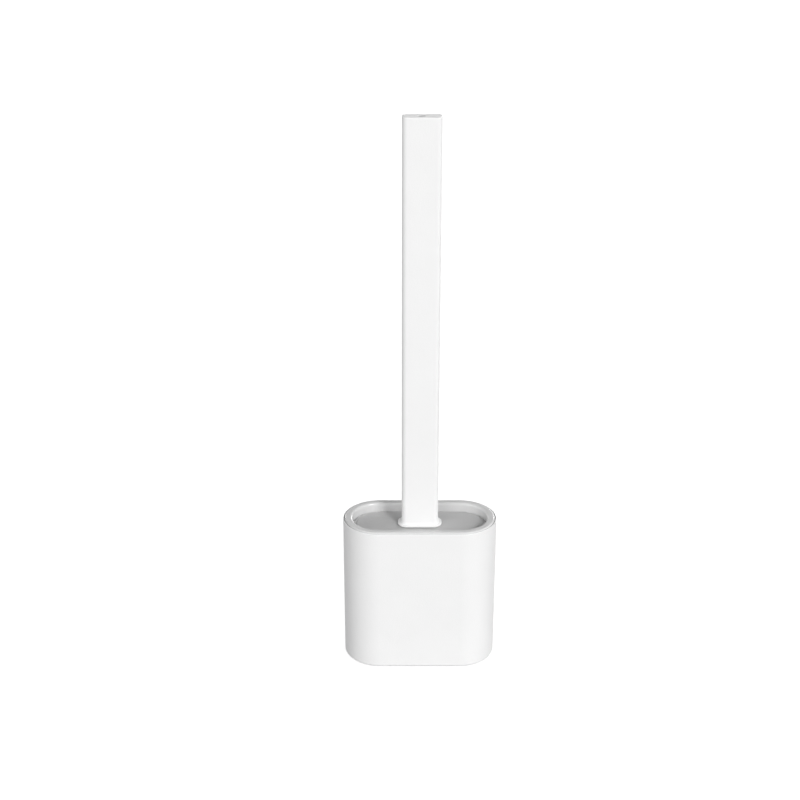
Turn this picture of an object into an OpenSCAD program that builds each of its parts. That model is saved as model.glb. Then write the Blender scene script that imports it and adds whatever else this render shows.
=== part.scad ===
// Free-standing toilet brush set: a flat brush stands in a slim holder with a lift-out bucket.
// Millimetres. Origin: centre of the holder's footprint on the floor. +Z is up, the handle's
// broad faces look along Y and the holder is longest along X.

/* [Holder] */
// Width of the holder, end to end
holder_w = 109.5; // [100:0.5:125]
// Depth of the holder, front to back
holder_d = 52; // [50:1:58]
// Height of the holder's rim above the floor
holder_h = 111.5; // [105:0.5:125]
// Wall thickness of the outer shell
shell_t = 2.4; // [2:0.1:2.6]
// Radius on the shell's bottom outer edge
shell_foot_r = 1.6; // [1:0.1:2]
// Radius on the shell's top outer edge
shell_lip_r = 0.4; // [0.2:0.1:0.5]
// Height of the shell's bottom edge above the floor
shell_lift = 0.8; // [0.6:0.1:1.2]

/* [Bucket] */
// Width of the rolled rim, from the outside of the shell to the wall of the mouth
rim_w = 6.6; // [6:0.1:7.5]
// Radius where the rim rolls over into the mouth
rim_roll_r = 1.8; // [1.5:0.1:3]
// Wall thickness of the bucket
bucket_t = 1.8; // [1.5:0.1:2]
// Width of the ledge that carries the lid
ledge_w = 2.2; // [1.8:0.1:2.6]
// Height of the underside of the bucket's floor
bucket_z = 7.5; // [7:0.5:10]
// Height of the drip grid's top face above the bucket's floor
grid_rise = 7; // [6.5:0.5:8]

/* [Lid] */
// How far the lid's top lies below the rim
lid_drop = 6.3; // [5.5:0.1:7]
// Thickness of the lid
lid_t = 2.2; // [1.8:0.1:2.6]
// Gap all round between the lid and the mouth
lid_gap = 0.7; // [0.4:0.1:0.8]

/* [Handle] */
// Height of the handle's top above the floor
total_h = 400; // [360:5:420]
// Width of the handle
handle_w = 25.8; // [24:0.2:28]
// Thickness of the handle, front to back
handle_t = 11; // [10.8:0.2:14]
// Radius on the handle's long edges
handle_r = 3.4; // [2.4:0.1:3.8]
// Wall thickness of the handle
handle_wall = 2; // [1.8:0.1:2.2]
// How far the flared foot stands out past the handle's narrow sides
flare_out = 2.65; // [2:0.05:3]
// How far the flared foot stands out past the handle's broad faces
flare_out_d = 1.85; // [1.6:0.05:2.2]
// Height of the flare's hollow curve, from the lip to the plain handle
flare_h = 1.6; // [1:0.1:4]
// Radius of the rounded lip at the bottom of the flare
flare_lip_r = 0.75; // [0.6:0.05:1]
// Diameter of the stopper in the top plug
stopper_d = 5; // [4:0.5:6]

/* [Brush head] */
// Width of the soft pad
pad_w = 64; // [58:1:66]
// Thickness of the soft pad
pad_t = 11; // [10:0.5:12]
// Length of the bristles on the pad's faces
bristle_l = 6.2; // [5:0.1:6.4]
// Length of the bristles round the pad's edge
edge_bristle_l = 4.5; // [3:0.1:5]
// Distance between bristles
bristle_pitch = 5.6; // [5.2:0.2:7]

/* [Hidden] */
$fn = 64;
eps = 0.01;

// Stadium outline: half the distance between its end centres, and its outer radius
half = (holder_w - holder_d) / 2;
outer_r = holder_d / 2;

// Outer shell
shell_top = holder_h - 0.9;      // the bucket's rolled rim stands a little proud of the shell
shell_in_r = outer_r - shell_t;
lip_t = 0.6;                     // thin lip of the shell round the bucket's flange
rest_z = holder_h - 3.6;         // step inside the shell that carries the flange
seat_in = 0.8;                   // depth of the rebate that the base plate fits in

// Base plate and feet
plate_z = shell_lift + 1;
plate_t = 2.2;
plate_top = plate_z + plate_t;   // lies against the top of the shell's rebate
plate_gap = 0.15;
plate_wall_t = 1.6;
snap_z = plate_top + 1.8;        // middle of the snap groove and of the bead in it
snap_h = 1.2;
snap_in = 0.5;
plate_wall_top = snap_z + 1.4;
plate_in_r = shell_in_r - plate_gap - plate_wall_t;
plate_recess = 0.6;              // depth of the recess in the underside
plate_border = 3;                // width of the border round that recess
plate_rib_w = 1.2;
plate_rib_h = 2;
plate_rib_pitch = 16;
foot_x = half + 7.25;
foot_y = 12;
foot_d = 10;
foot_sink = 1;                   // depth of each foot's seat in the base plate

// Bucket
mouth_r = outer_r - rim_w;
flange_r = outer_r - lip_t - 0.5; // leaves a dark seam inside the shell's lip
flange_z = rest_z + 0.1;
lid_top = holder_h - lid_drop;
lid_z = lid_top - lid_t;
ledge_z = lid_z - 0.1;
bucket_r = mouth_r - ledge_w;
bucket_out_r = bucket_r + bucket_t;
neck_out_r = mouth_r + bucket_t;
bucket_corner_r = 6;
floor_top = bucket_z + bucket_t;
grid_top = floor_top + grid_rise;
grid_t = 2;
grid_r = bucket_r - 0.4;
slot_w = 3;
slot_pitch = 6;

// Lid
lid_r = mouth_r - lid_gap;
lid_band = 1.9;                  // width of the lower band round the lid's edge
lid_step = 0.4;
skirt_h = 3;
skirt_t = 1.6;
skirt_r = bucket_r - 0.6;

// Handle's hollow, and the stem that fills it
hollow_w = handle_w - 2 * handle_wall;
hollow_d = handle_t - 2 * handle_wall;
hollow_r = 0.8;
stem_w = hollow_w - 0.6;
stem_d = hollow_d - 0.6;
stem_r = 1.4;
stem_top = 152;
stem_gap = 0.4;                  // gap all round the stem in the lid and the washer
barb_z = 140;
barb_h = 4;
barb_out = 0.9;
rib_w = 1.2;
rib_x = 6;
shoulder_w = 27;
shoulder_d = 14;
shoulder_t = 2.2;
washer_t = 0.7;
foot_z = lid_top + washer_t;     // underside of the handle's flared foot
plug_edge = 1.2;
plug_t = 2.4;
plug_body_h = 11;
stopper_t = 1.5;
stopper_seat = 1.6;              // depth of the stopper's seat in the top plug

// Brush head
pad_top = ledge_z - 5.4;
pad_z = grid_top + 5 + edge_bristle_l; // the lowest bristles hang 5 above the grid
pad_low_r = 15;
pad_high_r = 9;
core_margin = 4.5;
core_t = 5;
neck_w = 19;
bristle_base_r = 1.3;
bristle_tip_r = 0.75;
bristle_root = 0.6;
face_margin = 3.9;               // from the pad's edge to the nearest face bristle
row_pitch = bristle_pitch * sqrt(3) / 2;
face_rows = floor((pad_top - pad_z - 2 * face_margin) / row_pitch) + 1;
face_columns = floor(pad_w / 2 / bristle_pitch);

// Points of an arc about (cx, cy), from angle a0 to a1 in equal steps
function arc(cx, cy, r, a0, a1, steps = 6) =
    [for (i = [0 : steps]) let (a = a0 + (a1 - a0) * i / steps) [cx + r * cos(a), cy + r * sin(a)]];

// Corner-rounded rectangle as one ring of points at height z, steps points to a corner
function rounded_ring(w, d, r, z, steps = 8) =
    [for (p = concat(
        arc(w / 2 - r, d / 2 - r, r, 0, 90, steps),
        arc(r - w / 2, d / 2 - r, r, 90, 180, steps),
        arc(r - w / 2, r - d / 2, r, 180, 270, steps),
        arc(w / 2 - r, r - d / 2, r, 270, 360, steps)
    )) [p[0], p[1], z]];

// Solid through a stack of rings that all have the same number of points
module loft(rings) {
    n = len(rings[0]);
    last = len(rings) - 1;
    points = [for (ring = rings) for (p = ring) p];
    sides = [for (k = [0 : last - 1]) for (i = [0 : n - 1])
        let (j = (i + 1) % n) each [
            [k * n + i, (k + 1) * n + i, k * n + j],
            [k * n + j, (k + 1) * n + i, (k + 1) * n + j]
        ]];
    bottom = [for (i = [0 : n - 1]) i];
    top = [for (i = [n - 1 : -1 : 0]) last * n + i];
    polyhedron(points, concat([bottom, top], sides));
}

// Carries a profile, drawn as distance from the middle line against height, round the stadium
module stadium_sweep(profile) {
    for (side = [-1, 1]) {
        translate([side * half, 0, 0]) rotate([0, 0, -90 * side])
            rotate_extrude(angle = 180) polygon(profile);
        scale([1, side, 1]) rotate([90, 0, 90])
            linear_extrude(height = 2 * half, center = true) polygon(profile);
    }
}

// Straight-sided stadium solid of radius r from z to z + h
module stadium(r, z, h) {
    translate([0, 0, z]) {
        translate([-half, -r, 0]) cube([2 * half, 2 * r, h]);
        for (side = [-1, 1]) translate([side * half, 0, 0]) cylinder(r = r, h = h);
    }
}

module rounded_bar(w, d, r, z, h) {
    translate([0, 0, z]) linear_extrude(height = h)
        polygon([for (p = rounded_ring(w, d, r, 0)) [p[0], p[1]]]);
}

module holder_shell() {
    color("white") stadium_sweep(concat(
        arc(outer_r - shell_foot_r, shell_lift + shell_foot_r, shell_foot_r, -90, 0),
        arc(outer_r - shell_lip_r, shell_top - shell_lip_r, shell_lip_r, 0, 90, 4),
        [
            [outer_r - lip_t, shell_top],
            [outer_r - lip_t, rest_z],
            [shell_in_r, rest_z],
            [shell_in_r, snap_z + snap_h / 2],
            [shell_in_r + snap_in, snap_z],
            [shell_in_r, snap_z - snap_h / 2],
            [shell_in_r, plate_top],
            [shell_in_r + seat_in, plate_top],
            [shell_in_r + seat_in, shell_lift]
        ]
    ));
}

// Stiffening rib across the base plate at x
module cross_rib(x) {
    past = max(abs(x) - half, 0);
    reach = sqrt(plate_in_r * plate_in_r - past * past) + 0.3;
    translate([x - plate_rib_w / 2, -reach, plate_top - 0.2])
        cube([plate_rib_w, 2 * reach, plate_rib_h + 0.2]);
}

// Stiffening rib along the base plate at y, a hair lower than the cross ribs
module long_rib(y) {
    reach = half + sqrt(plate_in_r * plate_in_r - y * y) + 0.3;
    translate([-reach, y - plate_rib_w / 2, plate_top - 0.2])
        cube([2 * reach, plate_rib_w, plate_rib_h + 0.1]);
}

module base_plate() {
    wall_r = shell_in_r - plate_gap;
    rim_r = wall_r + seat_in;
    color("whitesmoke") difference() {
        union() {
            stadium_sweep([
                [0, plate_z + plate_recess],
                [rim_r - plate_border - 0.3, plate_z + plate_recess],
                [rim_r - plate_border, plate_z],
                [rim_r, plate_z],
                [rim_r, plate_top],
                [wall_r, plate_top],
                [wall_r, snap_z - snap_h / 2],
                [wall_r + snap_in, snap_z],
                [wall_r, snap_z + snap_h / 2],
                [wall_r, plate_wall_top],
                [plate_in_r, plate_wall_top],
                [plate_in_r, plate_top],
                [0, plate_top]
            ]);
            for (i = [-2 : 2]) cross_rib(i * plate_rib_pitch);
            for (side = [-1, 1]) long_rib(side * plate_rib_pitch / 2);
            for (x = [-foot_x, foot_x], y = [-foot_y, foot_y])
                translate([x, y, plate_z]) cylinder(d = foot_d + 2.8, h = plate_recess + 0.3);
        }
        for (x = [-foot_x, foot_x], y = [-foot_y, foot_y])
            translate([x, y, plate_z - eps]) cylinder(d = foot_d, h = foot_sink + eps);
    }
}

// One stick-on foot, with a chamfered lower edge
module foot(x, y) {
    color("gray") translate([x, y, 0]) rotate_extrude() polygon([
        [0, 0], [foot_d / 2 - 0.5, 0], [foot_d / 2, 0.5],
        [foot_d / 2, plate_z + foot_sink], [0, plate_z + foot_sink]
    ]);
}

module inner_bucket() {
    color("snow") stadium_sweep(concat(
        [[0, bucket_z]],
        arc(bucket_out_r - bucket_corner_r, bucket_z + bucket_corner_r, bucket_corner_r, -90, 0),
        [
            [bucket_out_r, ledge_z - 4],
            [neck_out_r, ledge_z - 1.8],
            [neck_out_r, flange_z],
            [flange_r, flange_z]
        ],
        arc(flange_r - 1.2, holder_h - 1.2, 1.2, 0, 90, 4),
        arc(mouth_r + rim_roll_r, holder_h - rim_roll_r, rim_roll_r, 90, 180),
        [[mouth_r, ledge_z], [bucket_r, ledge_z]],
        arc(
            bucket_out_r - bucket_corner_r, bucket_z + bucket_corner_r,
            bucket_corner_r - bucket_t, 0, -90
        ),
        [[0, floor_top]]
    ));
}

module drip_grid() {
    slots = floor(half / slot_pitch);
    color("lightgray") {
        difference() {
            stadium(grid_r, grid_top - grid_t, grid_t);
            for (i = [-slots : slots], y = [-8, 8])
                translate([i * slot_pitch, y, grid_top - grid_t - 1])
                    translate([-slot_w / 2, -5.5, 0]) cube([slot_w, 11, grid_t + 2]);
        }
        for (x = [-half, half], y = [-8, 8])
            translate([x, y, floor_top]) cylinder(d = 4, h = grid_top - grid_t - floor_top + eps);
    }
}

module lid() {
    color("silver") difference() {
        stadium_sweep([
            [0, lid_z], [skirt_r - skirt_t, lid_z], [skirt_r - skirt_t, lid_z - skirt_h],
            [skirt_r, lid_z - skirt_h], [skirt_r, lid_z], [lid_r, lid_z],
            [lid_r, lid_top - lid_step - 0.4], [lid_r - 0.4, lid_top - lid_step],
            [lid_r - lid_band, lid_top - lid_step], [lid_r - lid_band - 0.4, lid_top],
            [0, lid_top]
        ]);
        rounded_bar(stem_w + 2 * stem_gap, stem_d + 2 * stem_gap, stem_r, lid_z - 1, lid_t + 2);
    }
}

module neck_washer() {
    color("dimgray") difference() {
        rounded_bar(handle_w + 0.6, handle_t + 0.4, handle_r, lid_top, washer_t);
        rounded_bar(stem_w + 2 * stem_gap, stem_d + 2 * stem_gap, stem_r, lid_top - 1, washer_t + 2);
    }
}

// Rings of the handle's outside: rounded lip, a crease, hollow curve, then the plain handle
function handle_ring(out, z) = rounded_ring(
    handle_w + 2 * out, handle_t + 2 * out * flare_out_d / flare_out, handle_r + out, z
);

function handle_rings() = concat(
    [for (p = arc(flare_out - flare_lip_r, foot_z + flare_lip_r, flare_lip_r, -90, 120, 7))
        handle_ring(p[0], p[1])],
    [for (i = [1 : 7]) let (
        a = 90 * i / 7,
        start = flare_out - flare_lip_r * 1.5,
        low = foot_z + flare_lip_r * 1.87
    ) handle_ring(start * (1 - sin(a)), low + flare_h * (1 - cos(a)))],
    [handle_ring(0, total_h - 0.5), handle_ring(-0.5, total_h)]
);

module handle_body() {
    color("white") difference() {
        loft(handle_rings());
        rounded_bar(hollow_w, hollow_d, hollow_r, foot_z - 1, total_h - foot_z + 2);
        rounded_bar(
            handle_w - 2 * plug_edge, handle_t - 2 * plug_edge, handle_r - plug_edge,
            total_h - plug_t, plug_t + 1
        );
        // Pockets inside the hollow for the stem's barbs
        translate([0, 0, barb_z]) cube([stem_w + 2 * barb_out + 0.6, 5, barb_h + 0.4], center = true);
    }
}

module handle_top_plug() {
    body_z = total_h - plug_t - plug_body_h;
    color("whitesmoke") difference() {
        union() {
            rounded_bar(
                handle_w - 2 * plug_edge - 0.2, handle_t - 2 * plug_edge - 0.2,
                handle_r - plug_edge, total_h - plug_t, plug_t
            );
            rounded_bar(hollow_w, hollow_d, hollow_r, body_z, plug_body_h + eps);
        }
        rounded_bar(hollow_w - 3, hollow_d - 3, hollow_r, body_z - 1, plug_body_h);
        translate([0, 0, total_h - stopper_seat]) cylinder(d = stopper_d, h = stopper_seat + 1);
    }
}

// Round stopper in the top plug's seat, a hair below the face
module top_stopper() {
    r = stopper_d / 2 - 0.05;
    color("gray") translate([0, 0, total_h - stopper_seat]) rotate_extrude()
        polygon([[0, 0], [r, 0], [r, stopper_t - 0.3], [r - 0.3, stopper_t], [0, stopper_t]]);
}

// Outline of the paddle seen from the front, grown or shrunk by inset
module paddle_outline(inset) {
    w = pad_w / 2 - inset;
    low = pad_z + inset;
    high = pad_top - inset;
    low_r = pad_low_r - inset;
    high_r = pad_high_r - inset;
    polygon(concat(
        arc(w - low_r, low + low_r, low_r, -90, 0, 10),
        arc(w - high_r, high - high_r, high_r, 0, 90, 10),
        arc(high_r - w, high - high_r, high_r, 90, 180, 10),
        arc(low_r - w, low + low_r, low_r, 180, 270, 10)
    ));
}

module upright_plate(thickness) {
    rotate([90, 0, 0]) linear_extrude(height = thickness, center = true) children();
}

// Stem, shoulder and paddle of the head in one moulding, with windows that key the soft pad
module head_core() {
    window_h = 7;
    rows = 4;
    span = pad_top - pad_z - 2 * core_margin;
    neck_z = pad_top - core_margin - 1;
    rib_z = foot_z + 8;
    color("gainsboro") {
        rounded_bar(stem_w, stem_d, stem_r, lid_z - eps, stem_top - lid_z);
        for (x = [-rib_x, rib_x])
            translate([x - rib_w / 2, -hollow_d / 2, rib_z])
                cube([rib_w, hollow_d, stem_top - rib_z - 3]);
        translate([0, 0, barb_z]) cube([stem_w + 2 * barb_out, 4, barb_h], center = true);
        rounded_bar(shoulder_w, shoulder_d, 4, lid_z - shoulder_t, shoulder_t);
        rounded_bar(neck_w, core_t, 1.5, neck_z, lid_z - shoulder_t - neck_z + 0.5);
        difference() {
            upright_plate(core_t) paddle_outline(core_margin);
            for (i = [0 : rows - 1])
                translate([0, 0, pad_z + core_margin + span * (i + 0.5) / rows])
                    cube([pad_w - 26, core_t + 2, window_h], center = true);
        }
    }
}

// Bristle with its root in the pad, standing along +Z
module bristle(length) {
    translate([0, 0, -bristle_root])
        cylinder(r1 = bristle_base_r, r2 = bristle_tip_r, h = length + bristle_root);
}

// Staggered places on the pad's broad faces, as [x, z], clear of its round corners
function face_spots() = [
    for (k = [0 : face_rows - 1]) let (z = pad_z + face_margin + k * row_pitch)
        for (i = [-face_columns : face_columns]) let (x = (i + (k % 2) / 2) * bristle_pitch)
            if (abs(x) <= pad_w / 2 - face_margin && in_corner(x, z)) [x, z]
];

// True where a face bristle stays face_margin inside the pad's lower corners
function in_corner(x, z) =
    let (dx = abs(x) - (pad_w / 2 - pad_low_r), dz = pad_z + pad_low_r - z)
    dx <= 0 || dz <= 0 || norm([dx, dz]) <= pad_low_r - face_margin + 0.8;

// Places round the pad's edge, as [x, z, direction], for the right half; the left half mirrors it
function edge_spots() = let (
    side_rows = floor((pad_top - pad_high_r - pad_z - pad_low_r) / bristle_pitch),
    arc_x = pad_w / 2 - pad_low_r
) concat(
    [for (k = [0 : side_rows]) [pad_w / 2, pad_z + pad_low_r + k * bristle_pitch, 0]],
    [for (a = [-22.5, -45, -67.5])
        [arc_x + pad_low_r * cos(a), pad_z + pad_low_r * (1 + sin(a)), a]],
    [for (k = [0 : 2]) [arc_x - k * arc_x / 2.5, pad_z, -90]]
);

module bristle_head() {
    color("silver") {
        difference() {
            upright_plate(pad_t) paddle_outline(0);
            head_core();
        }
        for (side = [-1, 1], spot = face_spots())
            translate([spot[0], side * pad_t / 2, spot[1]])
                rotate([-90 * side, 0, 0]) bristle(bristle_l);
        for (side = [-1, 1], spot = edge_spots())
            translate([side * spot[0], 0, spot[1]])
                rotate([0, side * (90 - spot[2]), 0]) bristle(edge_bristle_l);
    }
}

holder_shell();
base_plate();
foot(-foot_x, -foot_y);  // foot_front_left
foot(foot_x, -foot_y);  // foot_front_right
foot(-foot_x, foot_y);  // foot_rear_left
foot(foot_x, foot_y);  // foot_rear_right
inner_bucket();
drip_grid();
lid();
neck_washer();
handle_body();
handle_top_plug();
top_stopper();
head_core();
bristle_head();
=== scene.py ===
"""Looks of a free-standing toilet brush set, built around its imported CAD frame.

A white oblong holder with round ends, a glossy bucket whose rolled rim shows at the top, a light
grey lid sunk in the mouth, and a white rectangular handle that flares out where it meets the lid.
The soft brush head hangs inside and shows when the brush is lifted. Lengths are in metres; MM
turns millimetres into them. Places and outer sizes come from the CAD nodes' boxes, and wall
thicknesses and fillets are set here. The head's core and the drip grid stay as CAD nodes.
"""
import math
import random

import bmesh
import bpy
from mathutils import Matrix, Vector


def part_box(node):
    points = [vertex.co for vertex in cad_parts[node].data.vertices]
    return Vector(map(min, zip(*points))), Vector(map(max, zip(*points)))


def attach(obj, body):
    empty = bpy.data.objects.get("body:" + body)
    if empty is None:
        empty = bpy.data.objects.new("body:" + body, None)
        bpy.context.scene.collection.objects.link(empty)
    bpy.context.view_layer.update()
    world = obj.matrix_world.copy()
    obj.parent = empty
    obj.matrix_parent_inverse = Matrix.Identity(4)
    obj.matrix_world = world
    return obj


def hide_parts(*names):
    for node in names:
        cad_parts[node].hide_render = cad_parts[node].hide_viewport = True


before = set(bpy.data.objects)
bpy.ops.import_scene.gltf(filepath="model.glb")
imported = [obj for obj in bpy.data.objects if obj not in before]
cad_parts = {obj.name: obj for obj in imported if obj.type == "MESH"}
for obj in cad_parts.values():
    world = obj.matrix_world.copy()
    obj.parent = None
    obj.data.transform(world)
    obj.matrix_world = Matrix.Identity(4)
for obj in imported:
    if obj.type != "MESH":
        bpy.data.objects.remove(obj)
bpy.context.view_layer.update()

MM = 0.001
ARC_STEPS = 40          # points round each half-circle end of an oblong ring
RUN_STEPS = 6           # points along each straight side of an oblong ring
CORNER_STEPS = 8        # points round each corner of a rounded rectangle
FILLET_STEPS = 5        # points round a small fillet in a profile
CIRCLE_STEPS = 48       # points round a foot, boss, seat or stopper
QUARTER_STEPS = 12      # points along a quarter turn of the handle's foot and the pad's edge
SHARP_DEG = 32          # edges sharper than this stay crisp


# ---------------------------------------------------------------- sizes from the frame

shell_lo, shell_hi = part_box("holder_shell")
bucket_lo, bucket_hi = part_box("inner_bucket")
lid_lo, lid_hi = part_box("lid")
washer_lo, washer_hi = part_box("neck_washer")
handle_lo, handle_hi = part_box("handle_body")
plug_lo, plug_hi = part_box("handle_top_plug")
head_lo, head_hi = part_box("bristle_head")
plate_lo, plate_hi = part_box("base_plate")
stopper_lo, stopper_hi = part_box("top_stopper")

FEET = ("foot_front_left", "foot_front_right", "foot_rear_left", "foot_rear_right")
SHELL_R = shell_hi.y                    # radius of the holder's round ends
HALF = shell_hi.x - shell_hi.y          # from the middle to each round end's centre
SHELL_WALL = 2.4 * MM
PLATE_T = 2.2 * MM                      # base plate's flat part
SEAT_STEP = 0.8 * MM                    # how far the plate's edge reaches under the shell's wall
SNAP_UP = 1.8 * MM                      # from the plate's flat part to the middle of its snap bead
SNAP_HALF = 0.6 * MM                    # half the height of the snap bead and its groove
MOUTH_R = SHELL_R - 6.6 * MM            # the bucket's mouth
LEDGE_W = 2.2 * MM                      # ledge in the mouth that carries the lid


# ---------------------------------------------------------------- outlines and profiles

def fillet_path(corners, steps=FILLET_STEPS):
    """Points of an open profile. Each corner is (distance, height, fillet radius), in metres."""
    points = []
    for i, (r, z, radius) in enumerate(corners):
        here = Vector((r, z))
        if radius <= 0 or i in (0, len(corners) - 1):
            points.append(here)
            continue
        before = (Vector(corners[i - 1][:2]) - here).normalized()
        after = (Vector(corners[i + 1][:2]) - here).normalized()
        turn = before.angle(after)
        reach = radius / math.tan(turn / 2)
        centre = here + (before + after).normalized() * radius / math.sin(turn / 2)
        start = here + before * reach - centre
        end = here + after * reach - centre
        sweep = start.angle_signed(end)
        for k in range(steps + 1):
            a = -sweep * k / steps
            points.append(centre + Vector((
                start.x * math.cos(a) - start.y * math.sin(a),
                start.x * math.sin(a) + start.y * math.cos(a))))
    return points


def oblong_ring(radius, z):
    """Ring round the holder's oblong plan at that distance from its middle line."""
    ring = []
    for side in (1, -1):
        for k in range(ARC_STEPS + 1):
            a = math.radians(-90 + 180 * k / ARC_STEPS)
            x, y = HALF + radius * math.cos(a), radius * math.sin(a)
            ring.append(Vector((side * x, side * y, z)))
        for k in range(1, RUN_STEPS):
            x = side * HALF * (1 - 2 * k / RUN_STEPS)
            ring.append(Vector((x, side * radius, z)))
    return ring


def box_ring(width, depth, radius, z, steps=CORNER_STEPS):
    """Ring round a rectangle with round corners."""
    ring = []
    for q, (sx, sy) in enumerate(((1, 1), (-1, 1), (-1, -1), (1, -1))):
        centre = Vector((sx * (width / 2 - radius), sy * (depth / 2 - radius), z))
        for k in range(steps + 1):
            a = math.radians(90 * q + 90 * k / steps)
            ring.append(centre + Vector((radius * math.cos(a), radius * math.sin(a), 0)))
    return ring


def box_ring_like(ring, width, depth, radius):
    """Rounded rectangle with one point for each point of ring, in the same directions."""
    points = []
    for p in ring:
        a = math.atan2(p.y, p.x)
        points.append(on_box(a, width, depth, radius, p.z))
    return points


def on_box(angle, width, depth, radius, z):
    """The point of a rounded rectangle's outline that lies in that direction from its middle."""
    c, s = math.cos(angle), math.sin(angle)
    w, d = width / 2, depth / 2
    reach = min(w / max(abs(c), 1e-9), d / max(abs(s), 1e-9))
    x, y = abs(c) * reach, abs(s) * reach
    cx, cy = w - radius, d - radius
    if x > cx and y > cy:
        along = abs(c) * cx + abs(s) * cy
        reach = along + math.sqrt(max(along * along - cx * cx - cy * cy + radius * radius, 0))
        x, y = abs(c) * reach, abs(s) * reach
    return Vector((math.copysign(x, c), math.copysign(y, s), z))


def circle_ring(radius, z, count=CIRCLE_STEPS, centre=(0, 0)):
    """Ring round a circle."""
    return [
        Vector((centre[0] + radius * math.cos(2 * math.pi * k / count),
                centre[1] + radius * math.sin(2 * math.pi * k / count), z))
        for k in range(count)
    ]


# ---------------------------------------------------------------- meshes

def skin(bm, rings, closed=False):
    """Adds a skin through rings of equal length: ring-shaped if closed, else with filled ends."""
    loops = [[bm.verts.new(p) for p in ring] for ring in rings]
    pairs = list(zip(loops, loops[1:]))
    if closed:
        pairs.append((loops[-1], loops[0]))
    for a, b in pairs:
        for i in range(len(a)):
            j = (i + 1) % len(a)
            bm.faces.new((a[i], a[j], b[j], b[i]))
    if not closed:
        bm.faces.new(list(reversed(loops[0])))
        bm.faces.new(loops[-1])


def shade(mesh, sharp=SHARP_DEG):
    """Smooth shading, but for edges sharper than that many degrees."""
    mesh.polygons.foreach_set("use_smooth", [True] * len(mesh.polygons))
    mesh.set_sharp_from_angle(angle=math.radians(sharp))


def finish_mesh(name, bm):
    """Object from a bmesh: doubles merged, faces outward, smooth but for its sharp edges."""
    bmesh.ops.remove_doubles(bm, verts=bm.verts, dist=0.002 * MM)
    bmesh.ops.recalc_face_normals(bm, faces=bm.faces)
    mesh = bpy.data.meshes.new(name)
    bm.to_mesh(mesh)
    bm.free()
    shade(mesh)
    piece = bpy.data.objects.new(name, mesh)
    bpy.context.scene.collection.objects.link(piece)
    return piece


def weigh_normals(piece):
    """Makes flat faces shade flat next to their fillets."""
    modifier = piece.modifiers.new("weighted_normals", "WEIGHTED_NORMAL")
    modifier.keep_sharp = True
    modifier.weight = 80
    return piece


def lofted(name, rings, closed=False):
    """Finished object from a skin through rings."""
    bm = bmesh.new()
    skin(bm, rings, closed)
    return weigh_normals(finish_mesh(name, bm))


def unite(piece, tool, operation="UNION"):
    """Joins the tool's solid to the piece's, or cuts it out, and removes the tool."""
    modifier = piece.modifiers.new("unite", "BOOLEAN")
    modifier.operation = operation
    modifier.object = tool
    modifier.solver = "MANIFOLD"
    depsgraph = bpy.context.evaluated_depsgraph_get()
    mesh = bpy.data.meshes.new_from_object(piece.evaluated_get(depsgraph))
    piece.modifiers.clear()
    piece.data = mesh
    bpy.data.objects.remove(tool)


def dress(piece, body, node, material):
    """Gives a finished piece its material and body, and hides the CAD node it stands for."""
    piece.data.materials.clear()
    piece.data.materials.append(material)
    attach(piece, body)
    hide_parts(node)
    return piece


# ---------------------------------------------------------------- materials

class Shader:
    """Short names for building a node material."""

    def __init__(self, name):
        self.material = bpy.data.materials.new(name)
        self.material.use_nodes = True
        self.nodes = self.material.node_tree.nodes
        self.links = self.material.node_tree.links
        self.bsdf = self.nodes["Principled BSDF"]
        self.coord = self.nodes.new("ShaderNodeTexCoord").outputs["Object"]

    def link(self, out, socket):
        self.links.new(out, socket)

    def noise(self, scale, detail, roughness=0.5):
        node = self.nodes.new("ShaderNodeTexNoise")
        node.inputs["Scale"].default_value = scale
        node.inputs["Detail"].default_value = detail
        node.inputs["Roughness"].default_value = roughness
        self.link(self.coord, node.inputs["Vector"])
        return node.outputs["Fac"]

    def spread(self, value, low, high, to_low, to_high):
        node = self.nodes.new("ShaderNodeMapRange")
        node.inputs["From Min"].default_value = low
        node.inputs["From Max"].default_value = high
        node.inputs["To Min"].default_value = to_low
        node.inputs["To Max"].default_value = to_high
        self.link(value, node.inputs["Value"])
        return node.outputs["Result"]

    def math(self, operation, a, b):
        node = self.nodes.new("ShaderNodeMath")
        node.operation = operation
        for socket, value in zip(node.inputs, (a, b)):
            if isinstance(value, (int, float)):
                socket.default_value = value
            else:
                self.link(value, socket)
        return node.outputs[0]

    def mix(self, factor, a, b):
        node = self.nodes.new("ShaderNodeMix")
        node.data_type = "RGBA"
        self.link(factor, node.inputs["Factor"])
        for socket, colour in ((node.inputs["A"], a), (node.inputs["B"], b)):
            if isinstance(colour, tuple):
                socket.default_value = (*colour, 1)
            else:
                self.link(colour, socket)
        return node.outputs["Result"]

    def bump(self, height, strength, distance, normal=None):
        node = self.nodes.new("ShaderNodeBump")
        node.inputs["Strength"].default_value = strength
        node.inputs["Distance"].default_value = distance
        self.link(height, node.inputs["Height"])
        if normal is not None:
            self.link(normal, node.inputs["Normal"])
        return node.outputs["Normal"]


def grey(value):
    return (value, value, value)


def pick_for_camera(tree, lit, seen, output):
    """Shows one shader to the camera, and lights the scene with the other."""
    pick = tree.nodes.new("ShaderNodeMixShader")
    is_camera = tree.nodes.new("ShaderNodeLightPath").outputs["Is Camera Ray"]
    tree.links.new(is_camera, pick.inputs["Fac"])
    tree.links.new(lit.outputs[0], pick.inputs[1])
    tree.links.new(seen.outputs[0], pick.inputs[2])
    tree.links.new(pick.outputs[0], tree.nodes[output].inputs["Surface"])


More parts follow.
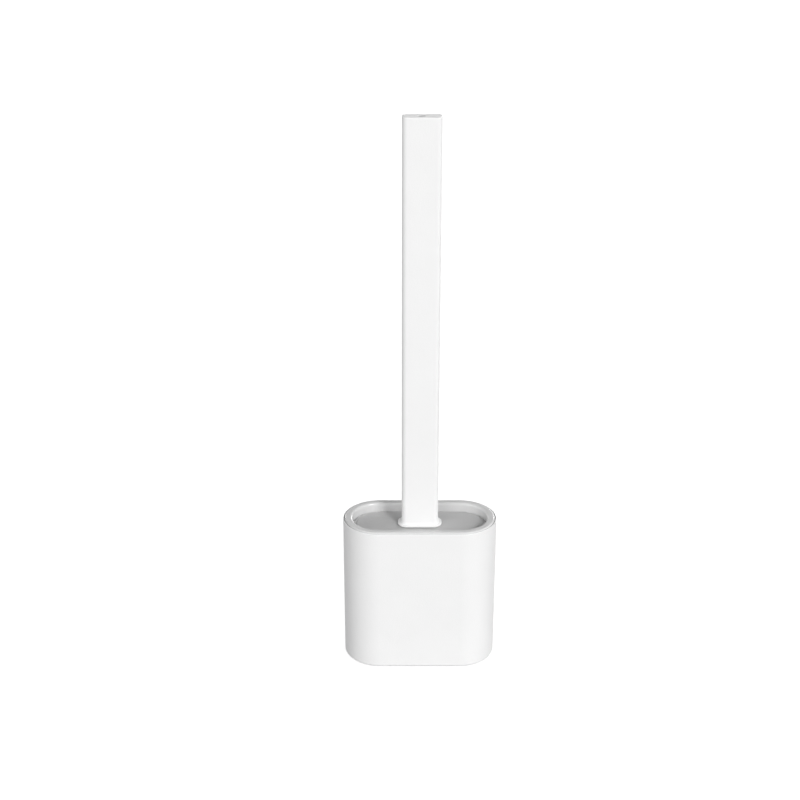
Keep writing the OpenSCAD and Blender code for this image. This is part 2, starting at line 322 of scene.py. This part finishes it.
def moulded(name, tone, rough, grain_mm, grain, relief=0.05, wave=0.02, worn=0.04):
    """Injection-moulded plastic: fine grain, slow flow waviness, polished edges, faint tone drift.

    The grain is grain_mm wide and relief mm deep at full strength; worn lightens the edges.
    """
    s = Shader(name)
    cloud = s.noise(38, 3)
    drift = s.mix(s.spread(cloud, 0.3, 0.7, 0, 1), grey(tone * 0.985), grey(tone))
    edge = s.spread(s.nodes.new("ShaderNodeNewGeometry").outputs["Pointiness"], 0.52, 0.60, 0, 1)
    s.link(s.mix(edge, drift, grey(min(tone * (1 + worn), 0.97))), s.bsdf.inputs["Base Color"])
    handled = s.spread(s.noise(90, 4, 0.6), 0.3, 0.7, rough - 0.035, rough + 0.035)
    s.link(s.math("SUBTRACT", handled, s.math("MULTIPLY", edge, 0.08)), s.bsdf.inputs["Roughness"])
    slow = s.bump(s.noise(55, 1), wave, 1 * MM)
    fine = s.bump(s.noise(1000 / grain_mm, 2, 0.55), grain, relief * MM, slow)
    s.link(fine, s.bsdf.inputs["Normal"])
    return s.material


def rubber(name, tone, rough, grain_mm=0.35, grain=0.35, soft=0.0):
    """Soft moulded rubber: matte, mottled bloom on its surface and a fine matt grain."""
    s = Shader(name)
    bloom = s.spread(s.noise(70, 5, 0.65), 0.35, 0.7, 0, 1)
    s.link(s.mix(bloom, grey(tone * 0.94), grey(tone * 1.04)), s.bsdf.inputs["Base Color"])
    s.link(s.spread(s.noise(160, 4, 0.6), 0.3, 0.7, rough - 0.06, rough + 0.06),
           s.bsdf.inputs["Roughness"])
    s.bsdf.inputs["Specular IOR Level"].default_value = 0.35
    s.bsdf.inputs["Subsurface Weight"].default_value = soft
    s.bsdf.inputs["Subsurface Scale"].default_value = 1.5 * MM
    s.link(s.bump(s.noise(1000 / grain_mm, 2, 0.6), grain, 0.06 * MM), s.bsdf.inputs["Normal"])
    return s.material


shell_plastic = moulded("shell_plastic", 0.90, 0.56, 0.9, 0.8, relief=0.12)
handle_plastic = moulded("handle_plastic", 0.90, 0.6, 0.9, 0.8, relief=0.12)
bucket_plastic = moulded("bucket_plastic", 0.69, 0.22, 1.6, 0.05, wave=0.03)
base_plastic = moulded("base_plastic", 0.84, 0.5, 0.5, 0.35)
lid_plastic = moulded("lid_plastic", 0.545, 0.5, 0.5, 0.35, worn=0.1)
core_plastic = moulded("core_plastic", 0.62, 0.36, 0.7, 0.2, worn=0.1)
grid_plastic = moulded("grid_plastic", 0.56, 0.42, 0.6, 0.3, worn=0.1)
stopper_rubber = rubber("stopper_rubber", 0.60, 0.6)
foot_rubber = rubber("foot_rubber", 0.30, 0.66)
washer_rubber = rubber("washer_rubber", 0.30, 0.6)
pad_rubber = rubber("pad_rubber", 0.42, 0.55, soft=0.08)


# ---------------------------------------------------------------- holder

def build_shell():
    """Outer sleeve: filleted foot and lip, step for the bucket, snap groove and rebate inside."""
    lip, groove = 0.6 * MM, 0.5 * MM
    rest_z = bucket_hi.z - 3.6 * MM
    plate_top = plate_lo.z + PLATE_T
    snap_z = plate_top + SNAP_UP
    top, low = shell_hi.z, shell_lo.z
    inner = SHELL_R - SHELL_WALL
    profile = fillet_path([
        (inner + SEAT_STEP, plate_top, 0),
        (inner + SEAT_STEP, low, 0.3 * MM),
        (SHELL_R, low, 1.6 * MM),
        (SHELL_R, top, 0.38 * MM),
        (SHELL_R - lip, top, 0.15 * MM),
        (SHELL_R - lip, rest_z, 0.15 * MM),
        (inner, rest_z, 0.2 * MM),
        (inner, snap_z + SNAP_HALF, 0),
        (inner + groove, snap_z, 0),
        (inner, snap_z - SNAP_HALF, 0),
        (inner, plate_top, 0),
    ])
    piece = lofted("holder_shell_piece", [oblong_ring(r, z) for r, z in profile], closed=True)
    return dress(piece, "holder", "holder_shell", shell_plastic)


def upright_box(name, x0, x1, y0, y1, z0, z1):
    """Square-edged box, as a tool for ribs."""
    bm = bmesh.new()
    corners = ((x0, y0), (x1, y0), (x1, y1), (x0, y1))
    skin(bm, [[Vector((x, y, z)) for x, y in corners] for z in (z0, z1)])
    return finish_mesh(name, bm)


def upright_disc(name, x, y, radius, z0, z1):
    """Round disc, as a tool for bosses and seats."""
    bm = bmesh.new()
    skin(bm, [circle_ring(radius, z, centre=(x, y)) for z in (z0, z1)])
    return finish_mesh(name, bm)


def build_base_plate():
    """Snap-in base: recessed underside with a boss round each foot, and stiffening ribs on top."""
    clearance, bead = 0.15 * MM, 0.5 * MM
    wall_r = SHELL_R - SHELL_WALL - clearance
    rim_r = wall_r + SEAT_STEP
    inner_r = wall_r - 1.6 * MM
    low, high = plate_lo.z, plate_lo.z + PLATE_T
    snap_z = high + SNAP_UP
    recess, border, flat = 0.6 * MM, 3 * MM, 8 * MM
    profile = fillet_path([
        (flat, low + recess, 0),
        (rim_r - border - 0.3 * MM, low + recess, 0.25 * MM),
        (rim_r - border, low, 0.25 * MM),
        (rim_r, low, 0.3 * MM),
        (rim_r, high, 0.1 * MM),
        (wall_r, high, 0),
        (wall_r, snap_z - SNAP_HALF, 0),
        (wall_r + bead, snap_z, 0.15 * MM),
        (wall_r, snap_z + SNAP_HALF, 0),
        (wall_r, plate_hi.z, 0.4 * MM),
        (inner_r, plate_hi.z, 0.4 * MM),
        (inner_r, high, 0.5 * MM),
        (flat, high, 0),
    ])
    bm = bmesh.new()
    skin(bm, [oblong_ring(r, z) for r, z in profile])
    piece = finish_mesh("base_plate_piece", bm)
    rib_half, rib_h, pitch = 0.6 * MM, 2 * MM, 16 * MM
    root, sink = 0.3 * MM, 0.2 * MM     # how far a rib runs into the wall and into the plate
    for i in range(-2, 3):
        x = i * pitch
        past = max(abs(x) - HALF, 0)
        reach = math.sqrt(inner_r * inner_r - past * past) + root
        unite(piece, upright_box("rib", x - rib_half, x + rib_half, -reach, reach,
                                 high - sink, high + rib_h))
    reach = HALF + math.sqrt(inner_r * inner_r - pitch * pitch / 4) + root
    for y in (-pitch / 2, pitch / 2):
        unite(piece, upright_box("rib", -reach, reach, y - rib_half, y + rib_half,
                                 high - sink, high + rib_h - 0.1 * MM))
    boss_w, gap, gate_r, gate_deep = 1.4 * MM, 0.05 * MM, 2 * MM, 0.35 * MM
    for node in FEET:
        lo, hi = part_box(node)
        x, y, radius = (lo.x + hi.x) / 2, (lo.y + hi.y) / 2, (hi.x - lo.x) / 2
        unite(piece, upright_disc("boss", x, y, radius + boss_w, low, low + recess + 0.3 * MM))
        unite(piece, upright_disc("seat", x, y, radius + gap, low - 1 * MM, hi.z), "DIFFERENCE")
    unite(piece, upright_disc("gate_mark", 0, 0, gate_r, low, low + recess + gate_deep),
          "DIFFERENCE")
    shade(piece.data)
    weigh_normals(piece)
    return dress(piece, "holder", "base_plate", base_plastic)


def build_foot(node):
    """Round stick-on foot with a rounded edge and three shallow grip rings."""
    lo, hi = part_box(node)
    centre = ((lo.x + hi.x) / 2, (lo.y + hi.y) / 2)
    radius = (hi.x - lo.x) / 2
    middle, soft = 0.4 * MM, 0.1 * MM   # radius of the flat middle, and of the small fillets
    ring_step, groove = 1.3 * MM, 0.25 * MM
    corners = [(middle, hi.z, 0), (radius, hi.z, soft), (radius, lo.z, 0.45 * MM)]
    for k in range(3):
        r = radius - ring_step * (k + 0.75)
        corners += [(r, lo.z, soft), (r - 0.15 * MM, lo.z + groove, soft),
                    (r - 0.45 * MM, lo.z + groove, soft), (r - 0.6 * MM, lo.z, soft)]
    corners.append((middle, lo.z, 0))
    rings = [circle_ring(r, z, centre=centre) for r, z in fillet_path(corners, 3)]
    piece = lofted(node + "_piece", rings)
    return dress(piece, "holder", node, foot_rubber)


# ---------------------------------------------------------------- bucket

def build_bucket():
    """Bucket in one moulding: rounded floor, ledge for the lid, and the rolled rim."""
    wall, corner = 1.8 * MM, 6 * MM
    top = bucket_hi.z
    flange_r, flange_z = bucket_hi.y, top - 3.5 * MM
    inner = MOUTH_R - LEDGE_W
    ledge = lid_hi.z - 2.3 * MM
    outer = inner + wall
    neck = MOUTH_R + wall
    low, floor = bucket_lo.z, bucket_lo.z + wall
    flat, recess = 8 * MM, 0.5 * MM
    profile = fillet_path([
        (flat, low + recess, 0),
        (10.6 * MM, low + recess, 0.3 * MM),
        (11.2 * MM, low, 0.3 * MM),
        (outer, low, corner),
        (outer, ledge - 4 * MM, 1 * MM),
        (neck, ledge - 1.8 * MM, 1 * MM),
        (neck, flange_z, 0.5 * MM),
        (flange_r, flange_z, 0.3 * MM),
        (flange_r, top, 1.3 * MM),
        (MOUTH_R, top, 1.8 * MM),
        (MOUTH_R, ledge, 0.4 * MM),
        (inner, ledge, 0.5 * MM),
        (inner, floor, corner - wall),
        (flat, floor, 0),
    ], 8)
    piece = lofted("inner_bucket_piece", [oblong_ring(r, z) for r, z in profile])
    return dress(piece, "bucket", "inner_bucket", bucket_plastic)


# ---------------------------------------------------------------- brush

STEM_GAP = 0.4 * MM
SLOT_W, SLOT_D = 21.2 * MM + 2 * STEM_GAP, 6.4 * MM + 2 * STEM_GAP      # slot for the head's stem
STEM_R = 1.4 * MM                                   # corners of the stem and its slot
FLARE_OUT_W, FLARE_OUT_D = 2.65 * MM, 1.85 * MM     # how far the foot stands out, in X and in Y
HANDLE_R, HANDLE_WALL = 3.4 * MM, 2 * MM
HOLLOW_R = 0.8 * MM                                 # corners of the handle's hollow
PLUG_EDGE, PLUG_T = 1.2 * MM, 2.4 * MM              # inset and thickness of the plug's head


def build_lid():
    """Lid with a lower band round its edge, a locating skirt below and a slot for the stem."""
    lid_r = lid_hi.y
    top, low = lid_hi.z, lid_hi.z - 2.2 * MM
    skirt, skirt_t = MOUTH_R - LEDGE_W - 0.6 * MM, 1.6 * MM
    band, step, flat = 1.9 * MM, 0.4 * MM, 9 * MM
    profile = fillet_path([
        (flat, low, 0),
        (skirt - skirt_t, low, 0.3 * MM),
        (skirt - skirt_t, lid_lo.z, 0.3 * MM),
        (skirt, lid_lo.z, 0.5 * MM),
        (skirt, low, 0.3 * MM),
        (lid_r, low, 0.3 * MM),
        (lid_r, top - step, 0.25 * MM),
        (lid_r - band, top - step, 0.25 * MM),
        (lid_r - band - 0.3 * MM, top, 0.3 * MM),
        (flat, top, 0),
    ], 4)
    rings = [oblong_ring(r, z) for r, z in profile]
    slot = [box_ring_like(oblong_ring(flat, z), SLOT_W, SLOT_D, STEM_R) for z in (top, low)]
    piece = lofted("lid_piece", rings + slot, closed=True)
    return dress(piece, "brush", "lid", lid_plastic)


def build_washer():
    """Soft washer squeezed between the lid and the handle's foot."""
    w, d = washer_hi.x * 2, washer_hi.y * 2
    lo, hi = washer_lo.z, washer_hi.z
    bulge = 0.15 * MM
    rings = [
        box_ring(SLOT_W, SLOT_D, STEM_R, lo), box_ring(w - 2 * bulge, d - 2 * bulge, HANDLE_R, lo),
        box_ring(w, d, HANDLE_R, (lo + hi) / 2),
        box_ring(w - 2 * bulge, d - 2 * bulge, HANDLE_R, hi), box_ring(SLOT_W, SLOT_D, STEM_R, hi),
    ]
    piece = lofted("neck_washer_piece", rings, closed=True)
    return dress(piece, "brush", "neck_washer", washer_rubber)


def build_handle():
    """Hollow rectangular handle. Its foot is a rounded lip, then a crease and a hollow curve."""
    w, d = handle_hi.x * 2 - 2 * FLARE_OUT_W, handle_hi.y * 2 - 2 * FLARE_OUT_D
    foot, top = handle_lo.z, handle_hi.z
    lip, flare_h, edge = 0.75 * MM, 1.6 * MM, 0.45 * MM
    outside = [(FLARE_OUT_W - 2 * lip, foot)]
    for k in range(QUARTER_STEPS + 1):
        a = math.radians(-90 + 210 * k / QUARTER_STEPS)
        outside.append((FLARE_OUT_W - lip + lip * math.cos(a), foot + lip + lip * math.sin(a)))
    start = FLARE_OUT_W - 1.5 * lip                     # the crease, where the curve starts
    low = foot + lip * (1 + math.sin(math.radians(60)))
    for k in range(1, QUARTER_STEPS + 1):
        a = math.radians(90 * k / QUARTER_STEPS)
        outside.append((start * (1 - math.sin(a)), low + flare_h * (1 - math.cos(a))))
    outside += [(0, low + flare_h + 3 * MM), (0, top - 12 * MM), (0, top - 1 * MM)]
    for k in range(5):
        a = math.radians(90 * k / 4)
        outside.append((edge * (math.cos(a) - 1), top + edge * (math.sin(a) - 1)))
    flatter = FLARE_OUT_D / FLARE_OUT_W
    rings = [box_ring(w + 2 * o, d + 2 * o * flatter, HANDLE_R + o, z) for o, z in outside]
    inside = [
        (PLUG_EDGE, top), (PLUG_EDGE, top - PLUG_T),
        (HANDLE_WALL, top - PLUG_T), (HANDLE_WALL, foot + 1 * MM), (HANDLE_WALL, foot)
    ]
    for i, z in inside:
        radius = HANDLE_R - i if i < HANDLE_WALL else HOLLOW_R
        rings.append(box_ring(w - 2 * i, d - 2 * i, radius, z))
    piece = lofted("handle_body_piece", rings, closed=True)
    return dress(piece, "brush", "handle_body", handle_plastic)


def build_plug():
    """Plug in the handle's open top, with a round seat in the middle of its face."""
    w, d = plug_hi.x * 2, plug_hi.y * 2
    top, low = plug_hi.z, plug_lo.z
    inset = HANDLE_WALL - PLUG_EDGE - 0.1 * MM
    seat_r, seat = 2.5 * MM, 1.6 * MM
    radius = HANDLE_R - PLUG_EDGE
    steps = 12
    wall, edge = 1.5 * MM, 0.25 * MM
    rings = []
    for shrink, z in ((wall, top - PLUG_T - 1 * MM), (wall, low), (0, low), (0, top - PLUG_T)):
        cut = 2 * (inset + shrink)
        rings.append(box_ring(w - cut, d - cut, HOLLOW_R, z, steps))
    rings.append(box_ring(w, d, radius, top - PLUG_T, steps))
    for k in range(5):
        a = math.radians(90 * k / 4)
        cut = 2 * edge * (1 - math.cos(a))
        rings.append(box_ring(w - cut, d - cut, radius, top + edge * (math.sin(a) - 1), steps))
    angles = [2 * math.pi * (k + 0.5) / len(rings[0]) for k in range(len(rings[0]))]
    for r, z in fillet_path([(seat_r + 1 * MM, top, 0), (seat_r, top, 0.2 * MM),
                             (seat_r, top - seat, 0.2 * MM), (0.5 * MM, top - seat, 0)], 3):
        rings.append([Vector((r * math.cos(a), r * math.sin(a), z)) for a in angles])
    piece = lofted("handle_top_plug_piece", rings)
    return dress(piece, "brush", "handle_top_plug", handle_plastic)


def build_stopper():
    """Round rubber stopper in the plug, with a shallow dished face."""
    r, top, low = stopper_hi.x, stopper_hi.z, stopper_lo.z
    middle, dish = 0.3 * MM, 0.15 * MM
    profile = fillet_path([
        (middle, low, 0), (r, low, 0.15 * MM), (r, top, 0.3 * MM),
        (r - 0.7 * MM, top, 0.2 * MM), (r - 1 * MM, top - dish, 0.2 * MM), (middle, top - dish, 0),
    ], 4)
    piece = lofted("top_stopper_piece", [circle_ring(radius, z) for radius, z in profile])
    return dress(piece, "brush", "top_stopper", stopper_rubber)


# ---------------------------------------------------------------- brush head

EDGE_BRISTLE, FACE_BRISTLE = 4.5 * MM, 6.2 * MM     # lengths
PITCH = 5.6 * MM                        # between neighbouring bristles
PAD_T = 2 * (head_hi.y - FACE_BRISTLE)
PAD_HALF_W = head_hi.x - EDGE_BRISTLE
PAD_LOW, PAD_TOP = head_lo.z + EDGE_BRISTLE, head_hi.z
LOW_R, HIGH_R = 15 * MM, 9 * MM         # corner radii of the pad's outline, lower and upper
FACE_MARGIN = 3.9 * MM                  # from the pad's edge to the nearest face bristle


def paddle_ring(inset, y):
    """Ring round the pad's outline seen from the front, shrunk by inset, at that depth."""
    ring = []
    for cx, cz, radius, start in (
            (1, PAD_LOW + LOW_R, LOW_R, -90), (1, PAD_TOP - HIGH_R, HIGH_R, 0),
            (-1, PAD_TOP - HIGH_R, HIGH_R, 90), (-1, PAD_LOW + LOW_R, LOW_R, 180)):
        for k in range(17):
            a = math.radians(start + 90 * k / 16)
            ring.append(Vector((cx * (PAD_HALF_W - radius) + (radius - inset) * math.cos(a), y,
                                cz + (radius - inset) * math.sin(a))))
    return ring


def slab_mesh(bm):
    """Pad with full round edges and the thin parting ridge of its two-part mould."""
    round_r = 4.6 * MM
    flat = PAD_T / 2 - round_r
    ridge, ridge_w = 0.22 * MM, 0.3 * MM
    path = []
    for k in range(QUARTER_STEPS + 1):
        a = math.radians(90 * k / QUARTER_STEPS)
        y = flat + round_r * math.cos(a)
        if y > ridge_w:
            path.append((round_r * (1 - math.sin(a)), y))
    path += [(0, ridge_w + 0.1 * MM), (-ridge, ridge_w * 0.6)]
    both = [(i, -y) for i, y in path] + [(i, y) for i, y in reversed(path)]
    skin(bm, [paddle_ring(i, y) for i, y in both])


def bristle_mesh(bm, root, direction, length, rng):
    """Tapered bristle with a filleted root and a round tip, leaning a hair from its direction."""
    base_r, tip_r, spread = 1.3 * MM, 0.75 * MM, 0.75 * MM
    lean = Vector((rng.uniform(-1, 1), rng.uniform(-1, 1), rng.uniform(-1, 1))) * 0.022
    turn = (direction + lean).normalized().to_track_quat("Z", "Y")
    rings = [(base_r + spread + 0.1 * MM, -0.8 * MM), (base_r + spread, -0.02 * MM)]
    for k in range(1, 5):
        a = math.radians(90 * k / 4)
        rings.append((base_r + spread * (1 - math.sin(a)), spread * (1 - math.cos(a))))
    rings.append((tip_r * 1.06, length - tip_r - 0.4 * MM))
    for k in range(5):
        a = math.radians(78 * k / 4)
        rings.append((tip_r * math.cos(a), length - tip_r + tip_r * math.sin(a)))
    skin(bm, [[root + turn @ p for p in circle_ring(r, z, 14)] for r, z in rings])


def face_spots():
    """Staggered places on the pad's faces, clear of its round lower corners."""
    row_pitch = PITCH * math.sqrt(3) / 2
    rows = math.floor((PAD_TOP - PAD_LOW - 2 * FACE_MARGIN) / row_pitch + 1e-6) + 1
    columns = math.floor(PAD_HALF_W / PITCH)
    for k in range(rows):
        z = PAD_LOW + FACE_MARGIN + k * row_pitch
        for i in range(-columns, columns + 1):
            x = (i + (k % 2) / 2) * PITCH
            dx, dz = abs(x) - (PAD_HALF_W - LOW_R), PAD_LOW + LOW_R - z
            near = dx > 0 and dz > 0 and math.hypot(dx, dz) > LOW_R - FACE_MARGIN + 0.8 * MM
            if abs(x) <= PAD_HALF_W - FACE_MARGIN and not near:
                yield x, z


def edge_spots():
    """Places on the right half of the pad's edge, each with its outward angle from +X."""
    arc_x = PAD_HALF_W - LOW_R
    rows = math.floor((PAD_TOP - HIGH_R - PAD_LOW - LOW_R) / PITCH + 1e-6)
    for k in range(rows + 1):
        yield PAD_HALF_W, PAD_LOW + LOW_R + k * PITCH, 0
    for angle in (-22.5, -45, -67.5):
        a = math.radians(angle)
        yield arc_x + LOW_R * math.cos(a), PAD_LOW + LOW_R * (1 + math.sin(a)), angle
    for k in range(3):
        yield arc_x - k * arc_x / 2.5, PAD_LOW, -90


def build_head():
    """Soft pad moulded over the paddle, with staggered bristles on its faces and round its edge."""
    rng = random.Random(7)
    face_short, edge_short = 0.25 * MM, 0.1 * MM        # keeps leaning tips inside the CAD box
    slab = bmesh.new()
    slab_mesh(slab)
    bristles = bmesh.new()
    for side in (-1, 1):
        for x, z in face_spots():
            bristle_mesh(bristles, Vector((x, side * PAD_T / 2, z)), Vector((0, side, 0)),
                         FACE_BRISTLE - face_short, rng)
    for side in (-1, 1):
        for x, z, angle in edge_spots():
            a = math.radians(angle)
            outward = Vector((side * math.cos(a), 0, math.sin(a)))
            bristle_mesh(bristles, Vector((side * x, 0, z)), outward,
                         EDGE_BRISTLE - edge_short, rng)
    piece = finish_mesh("bristle_head_piece", slab)
    unite(piece, finish_mesh("bristles", bristles))
    shade(piece.data, 50)
    return dress(piece, "brush", "bristle_head", pad_rubber)


def finish_cad(node, material, bevel_mm):
    """Keeps a CAD node whose shape is right, with softened edges and its material."""
    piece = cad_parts[node]
    piece.data.materials.clear()
    piece.data.materials.append(material)
    shade(piece.data)
    bevel = piece.modifiers.new("edge_softening", "BEVEL")
    bevel.width = bevel_mm * MM
    bevel.segments = 2
    bevel.limit_method = "ANGLE"
    bevel.angle_limit = math.radians(40)
    return piece


# ---------------------------------------------------------------- scene

def soft_sun(name, strength, azimuth, elevation, angle):
    """Distant soft light, angle degrees wide. Azimuth 0 is in front, and it grows towards +X."""
    data = bpy.data.lights.new(name, "SUN")
    data.energy = strength
    data.angle = math.radians(angle)
    light = bpy.data.objects.new(name, data)
    a, e = math.radians(azimuth), math.radians(elevation)
    away = Vector((math.sin(a) * math.cos(e), -math.cos(a) * math.cos(e), math.sin(e)))
    light.location = away * 2
    light.rotation_euler = away.to_track_quat("Z", "Y").to_euler()
    bpy.context.scene.collection.objects.link(light)


def build_camera():
    """Level camera in front of the object and a little to its left, tilted down."""
    data = bpy.data.cameras.new("camera")
    camera = bpy.data.objects.new("camera", data)
    data.sensor_width = 36
    data.lens = 66.76
    data.clip_start, data.clip_end = 0.05, 20
    camera.location = (-0.01412, -0.93355, 0.6201)
    camera.rotation_euler = (math.radians(90 - 24.113), 0, 0)
    bpy.context.scene.collection.objects.link(camera)
    bpy.context.scene.camera = camera


def build_floor():
    """Pale floor: near white to the camera, and a mid grey in what it reflects on the object."""
    bm = bmesh.new()
    bmesh.ops.create_grid(bm, x_segments=2, y_segments=2, size=6)
    mesh = bpy.data.meshes.new("floor")
    bm.to_mesh(mesh)
    bm.free()
    floor = bpy.data.objects.new("floor", mesh)
    bpy.context.scene.collection.objects.link(floor)
    material = bpy.data.materials.new("floor_pale")
    material.use_nodes = True
    nodes = material.node_tree.nodes
    seen = nodes["Principled BSDF"]
    seen.inputs["Base Color"].default_value = (0.35, 0.35, 0.35, 1)
    seen.inputs["Roughness"].default_value = 0.9
    seen.inputs["Specular IOR Level"].default_value = 0
    seen.inputs["Emission Color"].default_value = (1, 1, 1, 1)
    seen.inputs["Emission Strength"].default_value = 0.85
    lit = nodes.new("ShaderNodeBsdfDiffuse")
    lit.inputs["Color"].default_value = (0.33, 0.33, 0.33, 1)
    pick_for_camera(material.node_tree, lit, seen, "Material Output")
    mesh.materials.append(material)


def build_world():
    """White backdrop to the camera, with only a little light of its own."""
    world = bpy.data.worlds.new("studio")
    world.use_nodes = True
    bpy.context.scene.world = world
    nodes = world.node_tree.nodes
    seen = nodes.new("ShaderNodeBackground")
    seen.inputs["Color"].default_value = (1, 1, 1, 1)
    seen.inputs["Strength"].default_value = 1.05
    lit = nodes["Background"]
    lit.inputs["Color"].default_value = (1, 1, 1, 1)
    lit.inputs["Strength"].default_value = 0.18
    pick_for_camera(world.node_tree, lit, seen, "World Output")


build_shell()
build_base_plate()
for foot_node in FEET:
    build_foot(foot_node)
build_bucket()
finish_cad("drip_grid", grid_plastic, 0.25)
build_lid()
build_washer()
build_handle()
build_plug()
build_stopper()
finish_cad("head_core", core_plastic, 0.3)
build_head()

build_camera()
build_floor()
build_world()
# Lights: strength, azimuth, elevation, and width of the disc.
soft_sun("key", 1.73, 33, 32, 14)
soft_sun("left_fill", 1.47, -35, 19, 46)
soft_sun("right_fill", 1.31, 84, 14, 60)
soft_sun("back_fill", 1.5, 155, 2, 30)
soft_sun("back_left_fill", 0.85, 208, 2, 30)
bpy.context.scene.view_settings.view_transform = "Standard"
